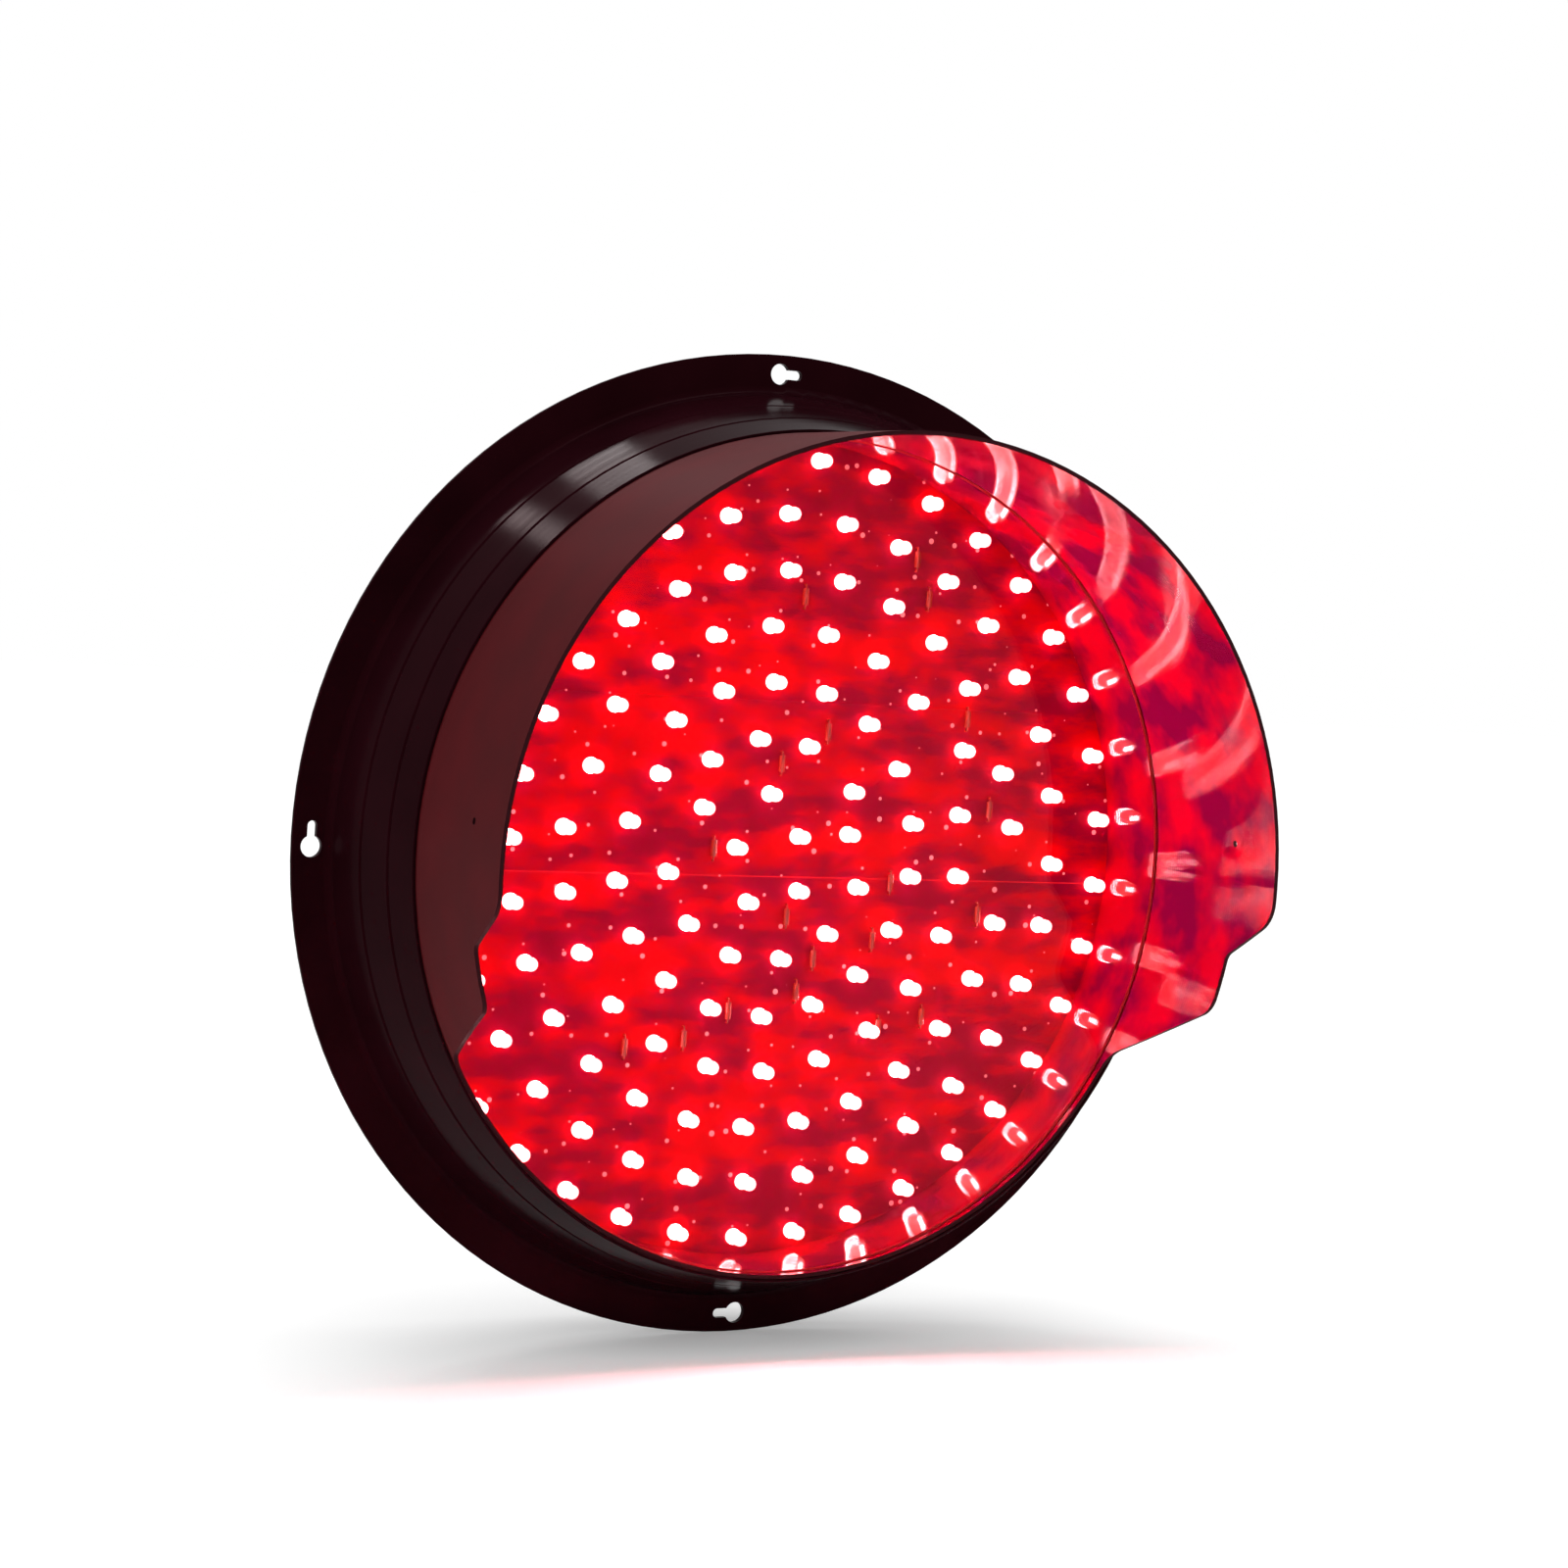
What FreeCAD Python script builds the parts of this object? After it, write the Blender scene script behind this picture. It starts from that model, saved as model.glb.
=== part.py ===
import FreeCAD, Part
import math
import os

# Lamp head of a traffic signal: a round flanged housing that hangs on four keyholes, a cut away
# hood round its clear lens, a board of light emitting diodes, and a rear cover with its gland.
# The unit is the millimetre. Seen from the front, +X is right and +Z is up. +Y is the rear.
# The origin is the centre of the flange's rear face, where the head lies on its panel.
# A depth is counted forward from the flange's front face.

# Flange and its keyholes
flange_width = 13.8
flange_thickness = 2.0
flange_edge_round = 0.5
keyhole_count = 4
keyhole_inset = 7.0
keyhole_head_radius = 3.8
keyhole_slot_width = 3.4
keyhole_travel = 7.2

# Drum of the housing
drum_foot_radius = 166.2
drum_foot_round = 3.0
drum_taper = 13.7
drum_depth = 42.5
drum_wall = 2.6
drum_front_round = 0.4
groove_places = (0.37, 0.70)
groove_width = 1.4
groove_depth = 0.5

# Rear collar of the housing and its bosses, which take the board's screws in front and the cover's behind
collar_inset = 6.0
collar_wall = 2.0
collar_length = 10.0
boss_count = 8
boss_start = 22.5
boss_radius = 4.6
boss_inset = 5.6

# Lens and its seat
bezel_width = 0.8
lens_ledge_width = 1.3
lens_ledge_thickness = 2.5
lens_thickness = 3.0
lens_gap = 0.4
lens_edge_bevel = 0.5
lens_gasket_thickness = 1.0
lens_seat_depth = 35.5

# Hood
hood_gap = 0.3
hood_wall = 1.5
hood_flare = 0.4
hood_depth = 113.7
lip_depth = 42.0
hood_corner_drop = 12.0
hood_corner_round = 12.0
step_drop = 27.0
step_depth = 90.8
step_round = 4.0
shelf_drop = 47.5
shelf_round = 7.0
slope_drop = 71.0
slope_round = 9.0
hood_hole_radius = 1.2
hood_hole_depth = 89.0
hood_hole_angle = 5.3
lug_count = 8
lug_sweep = 9.0
lug_height = 0.6
lug_length = 1.0
lug_offset = 0.3
lug_gap = 0.2

# Reflector, the thin sleeve from the board to the lens
reflector_gap = 0.2
reflector_wall = 0.8
reflector_end_gap = 0.3

# Board
board_depth = 4.5
board_gap = 0.8
board_thickness = 1.6

# Diodes
led_radius = 2.5
led_rim_radius = 2.9
led_rim_height = 1.0
led_height = 8.6
led_edge_margin = 13.7
# The rings from the middle out, evenly spaced. Each has its runs: first angle, last angle, number
led_rings = (
    ((-109, -47, 2), (90, 90, 1)),
    ((69.5, 128, 3), (192.5, 341.3, 6)),
    ((10.5, 131.5, 7), (191.7, 351.9, 9)),
    ((43.8, 141.9, 7), (175.6, 370.5, 13)),
    ((37.8, 345.5, 25),),
    ((11, 214.5, 19), (225.5, 358.8, 13)),
    ((6, 85.5, 9), (95.2, 355.9, 28)),
)
# Diodes off their rings, to both sides of the middle: distance out in ring spacings, angle
stray_leds = ((0.68, 21.6), (0.62, 177.6), (1.51, 151.4), (1.68, 10.7), (2, 33), (2.58, 150),
              (2.8, 170.8), (3.8, 158.6), (4.38, 26), (5.03, 17.7), (5.1, 6))

# Resistors, upright on the board: x and z of the middle in ring spacings
resistor_places = ((0.45, 4.55), (2.7, 5.35), (3.0, 4.65), (1.1, 2.15), (0.2, 1.55), (-1.05, 0.0),
                   (0.5, -1.2), (0.8, -2.55), (1.1, -1.95), (2.3, -1.6), (4.0, 2.5), (4.6, 0.85),
                   (4.5, -1.1), (3.45, -3.0), (-0.55, -2.9), (-1.4, -3.4), (-2.55, -3.55), (2.55, -3.2),
                   (2.6, -0.55))
resistor_radius = 1.1
resistor_length = 6.0
resistor_lift = 1.5
lead_radius = 0.3
lead_overhang = 1.4

# Screws: shank radius, head radius, head height
board_screw = (1.4, 2.75, 2.0)
cover_screw = (1.9, 3.9, 2.8)
driver_screw = (1.9, 3.6, 2.5)
screw_slack = 0.3
thread_slack = 0.05
board_screw_bite = 5.0
screw_bite = 7.0
pilot_spare = 0.5
recess_width = 0.9
recess_depth = 1.0
recess_reach = 0.6

# Rear cover
cover_gasket_thickness = 1.5
cover_flange_thickness = 2.2
cover_wall = 2.4
cover_mouth_step = 2.1
cover_taper = 5.0
cover_depth = 24.5
cover_floor_round = 6.0
spigot_length = 3.5
spigot_wall = 2.0
spigot_gap = 0.3

# Driver
driver_width = 110.0
driver_height = 52.0
driver_case_depth = 18.0
driver_lid_thickness = 2.0
driver_round = 3.0
ear_reach = 9.0
ear_thickness = 3.0
ear_width = 14.0
ear_boss_radius = 5.0
ear_boss_height = 5.0
driver_case_wall = 2.0

# Terminal block
terminal_ways = 3
terminal_pitch = 8.0
terminal_height = 16.0
terminal_thickness = 16.0
terminal_end = 3.0
terminal_over_gland = 35.0
terminal_wire_hole = 1.6
terminal_wire_height = 8.5
terminal_well_radius = 2.4
terminal_well_depth = 5.5
terminal_screw_radius = 2.1
terminal_screw_length = 3.5

# Leads
wire_radius = 1.1
lead_spacing = 8.0
lead_rise = 22.0
lead_bend = 7.0

# Gland
gland_inset = 19.0
gland_hex = 20.0
gland_collar_length = 5.0
gland_shank_radius = 7.9
gland_shank_length = 12.0
gland_hole_slack = 0.2
gland_bore_radius = 4.2
gland_thread_radius = 7.4
gland_thread_length = 9.0
gland_thread_slack = 0.08
seal_outer_radius = 5.9
seal_bore_radius = 3.1
seal_length = 8.5
seal_pocket_slack = 0.1
seal_pocket_depth = 7.5
washer_radius = 10.5
washer_thickness = 1.2
locknut_thickness = 4.5
locknut_slack = 0.05
slip_ring_radius = 6.6
slip_ring_bore = 3.5
slip_ring_thickness = 1.2
gland_nut_lift = 1.0
gland_nut_hex_length = 7.0
gland_nut_end = 3.0
gland_nut_tip_radius = 8.6
gland_nut_round = 1.5

# Breather
breather_inset = 18.0
breather_hole_radius = 4.0
breather_head_radius = 7.0
breather_head_height = 3.0
breather_stem_slack = 0.1
breather_barb = 0.8
breather_slot_width = 1.2
breather_slot_depth = 1.2

os.makedirs("parts", exist_ok=True)

centre = FreeCAD.Vector(0, 0, 0)
rearward = FreeCAD.Vector(0, 1, 0)
forward = FreeCAD.Vector(0, -1, 0)
upward = FreeCAD.Vector(0, 0, 1)

flange_front = -flange_thickness
flange_radius = drum_foot_radius + flange_width
keyhole_circle_radius = flange_radius - keyhole_inset
drum_front_radius = drum_foot_radius - drum_taper
lens_bore_radius = drum_front_radius - bezel_width
lens_ledge_radius = lens_bore_radius - lens_ledge_width
drum_inner_foot_radius = drum_foot_radius - drum_wall
collar_inner_radius = drum_inner_foot_radius - collar_inset
collar_outer_radius = collar_inner_radius + collar_wall
boss_circle_radius = collar_outer_radius - boss_inset
board_radius = collar_inner_radius - board_gap
board_front = flange_front - board_depth
board_rear = board_front + board_thickness
ring_spacing = (board_radius - led_edge_margin) / len(led_rings)
reflector_radius = lens_ledge_radius - reflector_gap
lens_rear_depth = lens_seat_depth + lens_gasket_thickness
hood_base_depth = lens_rear_depth + lens_thickness
hood_base_radius = lens_bore_radius - hood_gap
hood_rim_radius = hood_base_radius + hood_flare
cover_seat = collar_length + cover_gasket_thickness
cover_floor = cover_seat + cover_depth
cover_floor_inside = cover_floor - cover_wall
spigot_radius = boss_circle_radius - boss_radius - spigot_gap
cover_mouth_radius = spigot_radius - spigot_wall - cover_mouth_step
cover_floor_radius = cover_mouth_radius - cover_taper
gland_drop = cover_floor_radius - gland_inset
terminal_drop = gland_drop - terminal_over_gland
breather_rise = cover_floor_radius - breather_inset
driver_seat = cover_floor_inside - ear_boss_height
driver_front = driver_seat - driver_case_depth - driver_lid_thickness
gland_foot = cover_floor + washer_thickness
gland_thread_foot = gland_foot + gland_collar_length
gland_thread_end = gland_thread_foot + gland_thread_length
seal_foot = gland_thread_end - seal_pocket_depth
seal_end = seal_foot + seal_length


def at_depth(depth):
    """The y of a depth in front of the flange's front face."""
    return flange_front - depth


def polar(radius, angle, y=0.0):
    """A point at a radius and an angle, counted anticlockwise as seen from the front."""
    turn = math.radians(angle)
    return FreeCAD.Vector(radius * math.cos(turn), y, radius * math.sin(turn))


def arc_corner(before, corner, after, radius):
    """The start, middle and end of the arc that rounds a corner."""
    back = (before - corner).normalize()
    on = (after - corner).normalize()
    half = back.getAngle(on) / 2
    reach = radius / math.tan(half)
    bisector = (back + on).normalize()
    middle = corner + bisector * (radius / math.sin(half) - radius)
    return corner + back * reach, middle, corner + on * reach


def rounded_face(corners):
    """A flat face inside straight sides, from (first, second, rounding radius) corners in X and Y."""
    places = [FreeCAD.Vector(first, second, 0) for first, second, radius in corners]
    stops = []
    for number, (first, second, radius) in enumerate(corners):
        place = places[number]
        if radius:
            stops.append(arc_corner(places[number - 1], place, places[(number + 1) % len(places)], radius))
        else:
            stops.append((place, None, place))
    edges = []
    for number, (start, middle, end) in enumerate(stops):
        if middle is not None:
            edges.append(Part.Arc(start, middle, end).toShape())
        following = stops[(number + 1) % len(stops)][0]
        edges.append(Part.LineSegment(end, following).toShape())
    return Part.Face(Part.Wire(edges))


def turned(corners):
    """A body of revolution about the Y axis from (radius, y, rounding radius) corners."""
    return rounded_face(corners).revolve(centre, rearward, 360)


def ring(inner_radius, outer_radius, y_front, y_rear):
    """A flat ring about the Y axis."""
    return turned(((inner_radius, y_front, 0), (outer_radius, y_front, 0),
                   (outer_radius, y_rear, 0), (inner_radius, y_rear, 0)))


def rod(radius, start, end):
    """A round rod between two points."""
    along = end - start
    return Part.makeCylinder(radius, along.Length, start, along)


def block(x_range, y_range, z_range):
    """A rectangular block between its limits."""
    size = [limits[1] - limits[0] for limits in (x_range, y_range, z_range)]
    return Part.makeBox(*size, FreeCAD.Vector(x_range[0], y_range[0], z_range[0]))


def hex_prism(across_flats, y_front, y_rear):
    """A hexagonal prism about the Y axis."""
    corner_radius = across_flats / 2 / math.cos(math.pi / 6)
    corners = [polar(corner_radius, 60 * number, y_front) for number in range(6)]
    outline = Part.makePolygon(corners + corners[:1])
    return Part.Face(outline).extrude(rearward * (y_rear - y_front))


def save(node, shape):
    """Write one node."""
    solids = shape.Solids
    assert solids and all(solid.isValid() for solid in solids), node
    shape.exportStep(f"parts/{node}.step")
    print(node, len(solids), "solids", round(sum(solid.Volume for solid in solids)), "mm3")


def around(count, start):
    """Even angles round the axis."""
    return [start + 360 / count * number for number in range(count)]


def at_each(shape, places):
    """Separate copies of a shape at several places."""
    return Part.makeCompound([shape.translated(place) for place in places])


def screw(sizes, grip):
    """A pan head screw with a cross recess, its seat at the origin and its shank along +Y."""
    shank_radius, head_radius, head_height = sizes
    top = forward * head_height
    body = rod(head_radius, top, centre).fuse(rod(shank_radius, centre, rearward * grip))
    long_side = (-head_radius * recess_reach, head_radius * recess_reach)
    short_side = (-recess_width / 2, recess_width / 2)
    recess = (top.y, top.y + recess_depth)
    return body.cut(block(long_side, recess, short_side)).cut(block(short_side, recess, long_side))


def facing_forward(shape):
    """The shape turned end for end, so that what ran along +Y runs along -Y."""
    return shape.rotated(centre, upward, 180)


# Housing

def drum_corners():
    """The outer side of the drum from its foot to its front edge, with its fine grooves."""
    foot = FreeCAD.Vector(drum_foot_radius, flange_front, 0)
    front = FreeCAD.Vector(drum_front_radius, at_depth(drum_depth), 0)
    along = front - foot
    unit = FreeCAD.Vector(along).normalize()
    inward = FreeCAD.Vector(unit.y, -unit.x, 0)
    corners = [(foot.x, foot.y, drum_foot_round)]
    for place in groove_places:
        for shift, drop in ((-0.5, 0), (0, groove_depth), (0.5, 0)):
            point = foot + along * place + unit * (shift * groove_width) + inward * drop
            corners.append((point.x, point.y, 0))
    corners.append((front.x, front.y, drum_front_round))
    return corners


def drum_inner_radius(depth):
    """The radius of the drum's inner side at a depth."""
    taper = (drum_foot_radius - drum_front_radius) / drum_depth
    return drum_inner_foot_radius - taper * depth


def mouth_corners():
    """The drum's mouth: the bore for lens and hood, the groove for the hood's lugs, and the ledge."""
    ledge_rear = lens_seat_depth - lens_ledge_thickness
    groove_rear = hood_base_depth + lug_offset - lug_gap
    groove_front = hood_base_depth + lug_offset + lug_length + lug_gap
    groove_radius = hood_base_radius + lug_height + lug_gap
    walk = ((lens_bore_radius, drum_depth), (lens_bore_radius, groove_front),
            (groove_radius, groove_front), (groove_radius, groove_rear),
            (lens_bore_radius, groove_rear), (lens_bore_radius, lens_seat_depth),
            (lens_ledge_radius, lens_seat_depth), (lens_ledge_radius, ledge_rear),
            (drum_inner_radius(ledge_rear), ledge_rear))
    return [(radius, at_depth(depth), 0) for radius, depth in walk]


def keyhole(angle):
    """A through hole whose slot runs clockwise from its round head, as seen from the front."""
    half_angle = math.degrees(keyhole_travel / 2 / keyhole_circle_radius)
    head = polar(keyhole_circle_radius, angle + half_angle, flange_front)
    end = polar(keyhole_circle_radius, angle - half_angle, flange_front)
    through = rearward * flange_thickness
    cut = rod(keyhole_head_radius, head, head + through)
    cut = cut.fuse(rod(keyhole_slot_width / 2, end, end + through))
    side = (end - head).cross(rearward).normalize() * (keyhole_slot_width / 2)
    outline = Part.makePolygon([head + side, end + side, end - side, head - side, head + side])
    return cut.fuse(Part.Face(outline).extrude(through))


def boss_places(y):
    """The middles of the bosses at one y."""
    return [polar(boss_circle_radius, angle, y) for angle in around(boss_count, boss_start)]


def make_housing():
    """The flange, the conical drum, the lens ledge, the rear collar and its bosses in one moulding."""
    corners = [(flange_radius, flange_front, flange_edge_round)] + drum_corners() + mouth_corners()
    corners += [
        (drum_inner_foot_radius, flange_front, 0),
        (collar_inner_radius, flange_front, 0),
        (collar_inner_radius, collar_length, 0),
        (collar_outer_radius, collar_length, 0),
        (collar_outer_radius, 0, 0),
        (flange_radius, 0, flange_edge_round),
    ]
    housing = turned(corners)
    for front, rear in zip(boss_places(board_rear), boss_places(collar_length)):
        housing = housing.fuse(rod(boss_radius, front, rear))
        pilot = front + rearward * (board_screw_bite + pilot_spare)
        housing = housing.cut(rod(board_screw[0] + thread_slack, front, pilot))
        pilot = rear + forward * (screw_bite + pilot_spare)
        housing = housing.cut(rod(cover_screw[0] + thread_slack, pilot, rear))
    for angle in around(keyhole_count, 0):
        housing = housing.cut(keyhole(angle))
    save("housing", housing)


# Lens

def make_lens():
    """The clear disc and the gasket that it is pressed on by the hood's foot."""
    radius = lens_bore_radius - lens_gap
    rear, front = at_depth(lens_rear_depth), at_depth(hood_base_depth)
    save("lens", turned(((0, rear, 0), (0, front, 0), (radius - lens_edge_bevel, front, 0),
                         (radius, front + lens_edge_bevel, 0), (radius, rear, 0))))
    save("lens_gasket", ring(lens_ledge_radius, radius, rear, at_depth(lens_seat_depth)))


# Hood

def hood_cutter():
    """What the hood leaves open below: a rounded corner, a step, a short shelf and a slope to the lip."""
    beyond = hood_rim_radius + hood_wall
    ahead = at_depth(hood_depth) - hood_wall
    rim, step, lip = [at_depth(depth) for depth in (hood_depth, step_depth, lip_depth)]
    outline = rounded_face(((ahead, 0, 0), (rim, 0, 0), (rim, -hood_corner_drop, hood_corner_round),
                            (step, -step_drop, step_round), (step, -shelf_drop, shelf_round),
                            (lip, -slope_drop, slope_round), (lip, -beyond, 0), (ahead, -beyond, 0)))
    # A third of a turn about the space diagonal takes X to Y and Y to Z
    outline.rotate(centre, FreeCAD.Vector(1, 1, 1), 120)
    outline.translate(FreeCAD.Vector(-beyond, 0, 0))
    return outline.extrude(FreeCAD.Vector(2 * beyond, 0, 0))


def hood_lug(angle):
    """A low lug that snaps into the groove of the drum's mouth."""
    rear = at_depth(hood_base_depth + lug_offset)
    front = at_depth(hood_base_depth + lug_offset + lug_length)
    root = hood_base_radius - hood_wall / 2
    tip = hood_base_radius + lug_height
    section = rounded_face(((root, rear, 0), (tip, rear, 0), (tip, front, 0), (root, front, 0)))
    lug = section.revolve(centre, rearward, lug_sweep)
    lug.rotate(centre, forward, angle + lug_sweep / 2)
    return lug


def make_hood():
    """The thin flared tube, cut away below down to a narrow lip."""
    base, rim = at_depth(hood_base_depth), at_depth(hood_depth)
    hood = turned(((hood_base_radius - hood_wall, base, 0), (hood_base_radius, base, 0),
                   (hood_rim_radius, rim, 0), (hood_rim_radius - hood_wall, rim, 0)))
    hood = hood.cut(hood_cutter())
    for angle in around(lug_count, 0):
        hood = hood.fuse(hood_lug(angle))
    for angle in (hood_hole_angle, 180 - hood_hole_angle):
        inside, outside = [polar(radius, angle, at_depth(hood_hole_depth))
                           for radius in (hood_base_radius - 2 * hood_wall, hood_rim_radius + hood_wall)]
        hood = hood.cut(rod(hood_hole_radius, inside, outside))
    save("hood", hood)


# Board and diodes

def make_board():
    """The round board with its screw holes, and the reflector that stands on it round the diodes."""
    board = turned(((0, board_front, 0), (board_radius, board_front, 0),
                    (board_radius, board_rear, 0), (0, board_rear, 0)))
    for place in boss_places(board_front):
        board = board.cut(rod(board_screw[0] + screw_slack, place, place + rearward * board_thickness))
    save("led_board", board)
    reflector_front = at_depth(lens_rear_depth - reflector_end_gap)
    save("reflector", ring(reflector_radius - reflector_wall, reflector_radius, reflector_front, board_front))


def make_led():
    """One diode with its rim, barrel and domed tip, standing forward at the origin."""
    shoulder = led_radius - led_height
    rim = rod(led_rim_radius, centre, forward * led_rim_height)
    barrel = rod(led_radius, centre, rearward * shoulder)
    return rim.fuse(barrel).fuse(Part.makeSphere(led_radius, rearward * shoulder)).removeSplitter()


def run_angles(runs):
    """The angles of a ring's diodes, run by run."""
    angles = []
    for first, last, number in runs:
        step = (last - first) / max(number - 1, 1)
        angles += [first + step * place for place in range(number)]
    return angles


def make_leds():
    """The rings of diodes, one node for each ring, and the strays."""
    led = make_led()
    for number, runs in enumerate(led_rings, 1):
        places = [polar(number * ring_spacing, angle, board_front) for angle in run_angles(runs)]
        save(f"led_ring_{number}", at_each(led, places))
    places = [polar(spacings * ring_spacing, angle, board_front) for spacings, angle in stray_leds]
    save("led_strays", at_each(led, places))


def make_resistor():
    """A resistor that lies upright before the board on its two bent leads, at the origin."""
    half = resistor_length / 2
    end = half + lead_overhang
    axis = forward * resistor_lift
    body = rod(resistor_radius, axis - upward * half, axis + upward * half)
    for side in (-1, 1):
        corner = axis + upward * (side * end)
        body = body.fuse(rod(lead_radius, axis + upward * (side * half), corner))
        body = body.fuse(Part.makeSphere(lead_radius, corner))
        body = body.fuse(rod(lead_radius, corner, upward * (side * end)))
    return body


def make_board_fittings():
    """The resistors between the diodes, and the screws through the board into the bosses."""
    places = [FreeCAD.Vector(x * ring_spacing, board_front, z * ring_spacing) for x, z in resistor_places]
    save("resistors", at_each(make_resistor(), places))
    grip = board_thickness + board_screw_bite
    save("board_screws", at_each(screw(board_screw, grip), boss_places(board_front)))


# Rear cover

def cover_dish():
    """The dish of the cover, its flange, and the spigot that finds the bosses."""
    spigot_front = cover_seat - spigot_length
    flange_rear = cover_seat + cover_flange_thickness
    return turned((
        (collar_outer_radius, cover_seat, 0),
        (collar_outer_radius, flange_rear, 0),
        (cover_mouth_radius + cover_wall, flange_rear, 0),
        (cover_floor_radius + cover_wall, cover_floor, cover_floor_round),
        (0, cover_floor, 0),
        (0, cover_floor_inside, 0),
        (cover_floor_radius, cover_floor_inside, cover_floor_round - cover_wall),
        (cover_mouth_radius, cover_seat, 0),
        (spigot_radius - spigot_wall, cover_seat, 0),
        (spigot_radius - spigot_wall, spigot_front, 0),
        (spigot_radius, spigot_front, 0),
        (spigot_radius, cover_seat, 0),
    ))


def floor_hole(radius, z):
    """A round hole through the cover's floor."""
    return rod(radius, FreeCAD.Vector(0, cover_floor_inside, z), FreeCAD.Vector(0, cover_floor, z))


def make_cover():
    """The cover with the bosses of the driver, and the holes of screws, gland and breather."""
    cover = cover_dish()
    for place in driver_screw_places(driver_seat):
        cover = cover.fuse(rod(ear_boss_radius, place, place + rearward * ear_boss_height))
        cover = cover.cut(rod(driver_screw[0] + thread_slack, place, place + rearward * ear_boss_height))
    for place in boss_places(cover_seat):
        through = rearward * cover_flange_thickness
        cover = cover.cut(rod(cover_screw[0] + screw_slack, place, place + through))
    cover = cover.cut(floor_hole(gland_shank_radius + gland_hole_slack, -gland_drop))
    save("rear_cover", cover.cut(floor_hole(breather_hole_radius, breather_rise)))


def make_cover_seal():
    """The gasket of the cover and the screws that press it."""
    gasket = ring(spigot_radius, collar_outer_radius, collar_length, cover_seat)
    for place in boss_places(collar_length):
        through = rearward * cover_gasket_thickness
        gasket = gasket.cut(rod(cover_screw[0] + screw_slack, place, place + through))
    save("cover_gasket", gasket)
    seat = cover_seat + cover_flange_thickness
    grip = cover_flange_thickness + cover_gasket_thickness + screw_bite
    save("cover_screws", at_each(facing_forward(screw(cover_screw, grip)), boss_places(seat)))


# Driver and terminals

def driver_screw_places(y):
    """The two screws of the driver's ears at one y."""
    return [FreeCAD.Vector(side * (driver_width / 2 + ear_reach / 2), y, 0) for side in (-1, 1)]


def driver_box(width, height, y_front, y_rear, corner_round):
    """A box round the Y axis with rounded long edges."""
    signs = ((-1, -1), (1, -1), (1, 1), (-1, 1))
    outline = rounded_face([(across * width / 2, up * height / 2, corner_round) for across, up in signs])
    outline.rotate(centre, FreeCAD.Vector(1, 0, 0), 90)
    outline.translate(rearward * y_front)
    return outline.extrude(rearward * (y_rear - y_front))


def make_driver():
    """The driver's case on its two ears, its lid and its screws."""
    lid_rear = driver_front + driver_lid_thickness
    case = driver_box(driver_width, driver_height, lid_rear, driver_seat, driver_round)
    hollow = [size - 2 * driver_case_wall for size in (driver_width, driver_height)]
    case = case.cut(driver_box(*hollow, lid_rear, driver_seat - driver_case_wall,
                               driver_round - driver_case_wall))
    for place in driver_screw_places(driver_seat):
        side = math.copysign(1, place.x)
        wall = driver_width / 2
        x_limits = sorted((side * (wall - driver_case_wall), side * (wall + ear_reach)))
        ear = block(x_limits, (driver_seat - ear_thickness, driver_seat), (-ear_width / 2, ear_width / 2))
        case = case.fuse(ear).cut(rod(driver_screw[0] + screw_slack, place + forward * ear_thickness, place))
    save("driver_case", case)
    save("driver_lid", driver_box(driver_width, driver_height, driver_front, lid_rear, driver_round))
    ear_front = driver_seat - ear_thickness
    grip = ear_thickness + ear_boss_height - thread_slack
    save("driver_screws", at_each(screw(driver_screw, grip), driver_screw_places(ear_front)))


def terminal_columns():
    """The x of each way of the terminal block."""
    return [(way - (terminal_ways - 1) / 2) * terminal_pitch for way in range(terminal_ways)]


def make_terminals():
    """The terminal block on the cover's floor, with its wire holes, wells and clamping screws."""
    half_width = terminal_ways * terminal_pitch / 2 + terminal_end
    low, high = -terminal_drop - terminal_height / 2, -terminal_drop + terminal_height / 2
    front = cover_floor_inside - terminal_thickness
    wire_y = cover_floor_inside - terminal_wire_height
    body = block((-half_width, half_width), (front, cover_floor_inside), (low, high))
    screws = []
    for x in terminal_columns():
        bottom, top = [FreeCAD.Vector(x, wire_y, z) for z in (low, high)]
        body = body.cut(rod(terminal_wire_hole, bottom, top))
        mouth = FreeCAD.Vector(x, front, -terminal_drop)
        floor = mouth + rearward * terminal_well_depth
        body = body.cut(rod(terminal_well_radius, mouth, floor))
        slot = block((x - terminal_screw_radius, x + terminal_screw_radius),
                     (floor.y - terminal_screw_length, floor.y - terminal_screw_length + recess_depth),
                     (-terminal_drop - recess_width / 2, -terminal_drop + recess_width / 2))
        screws.append(rod(terminal_screw_radius, floor + forward * terminal_screw_length, floor).cut(slot))
    save("terminal_block", body)
    save("terminal_screws", Part.makeCompound(screws))


def make_leads():
    """The leads from the terminals to the driver, and those from the driver to the board."""
    wire_y = cover_floor_inside - terminal_wire_height
    low = -terminal_drop + terminal_height / 2 - terminal_pitch / 2
    save("driver_leads", Part.makeCompound([
        rod(wire_radius, FreeCAD.Vector(x, wire_y, low), FreeCAD.Vector(x, wire_y, -driver_height / 2))
        for x in terminal_columns()]))
    save("board_leads", Part.makeCompound([board_lead(side * lead_spacing / 2) for side in (-1, 1)]))


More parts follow.
